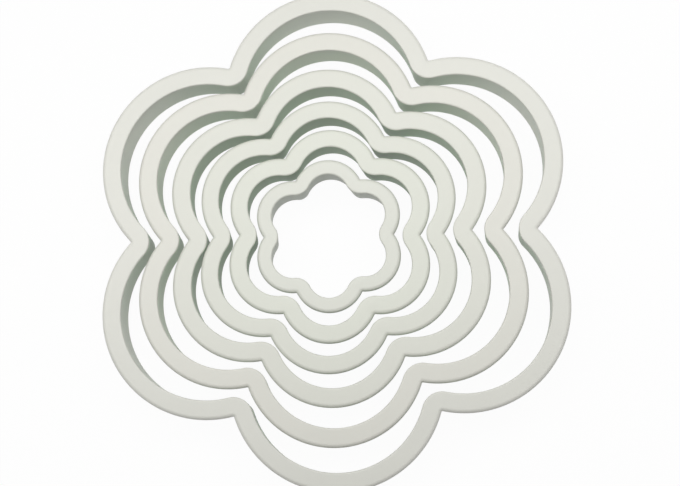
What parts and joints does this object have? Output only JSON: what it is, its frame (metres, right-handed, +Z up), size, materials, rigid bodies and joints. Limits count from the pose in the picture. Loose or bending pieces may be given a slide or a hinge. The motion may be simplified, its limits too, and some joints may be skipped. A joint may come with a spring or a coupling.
{
  "type": "nesting flower cutter set",
  "caption": "Nesting set of round-lobed flower cutters for dough and fondant, each a moulded ring with a broad flat pressing rim and a thin tapered cutting wall.",
  "frame": {"origin": "centre of the largest cutter, in the plane of the cutting edges", "axes": "+Z up, from the cutting edges to the pressing rims; +Y towards the tip of one lobe of the largest cutter"},
  "size_m": [0.1104, 0.12, 0.0125],
  "materials": {
    "pale_green_plastic": "satin moulded"
  },
  "bodies": {
    "cutter_6": {"flower_cutter_6": "pale_green_plastic"},
    "cutter_5": {"flower_cutter_5": "pale_green_plastic"},
    "cutter_4": {"flower_cutter_4": "pale_green_plastic"},
    "cutter_3": {"flower_cutter_3": "pale_green_plastic"},
    "cutter_2": {"flower_cutter_2": "pale_green_plastic"},
    "cutter_1": {"flower_cutter_1": "pale_green_plastic"}
  },
  "joints": [
    {"name": "lift_cutter_5", "type": "slide", "parent": "cutter_6", "child": "cutter_5", "axis": [0, 0, 1], "range_m": [0, 0.02]},
    {"name": "lift_cutter_4", "type": "slide", "parent": "cutter_6", "child": "cutter_4", "axis": [0, 0, 1], "range_m": [0, 0.02]},
    {"name": "lift_cutter_3", "type": "slide", "parent": "cutter_6", "child": "cutter_3", "axis": [0, 0, 1], "range_m": [0, 0.02]},
    {"name": "lift_cutter_2", "type": "slide", "parent": "cutter_6", "child": "cutter_2", "axis": [0, 0, 1], "range_m": [0, 0.02]},
    {"name": "lift_cutter_1", "type": "slide", "parent": "cutter_6", "child": "cutter_1", "axis": [0, 0, 1], "range_m": [0, 0.02]}
  ]
}
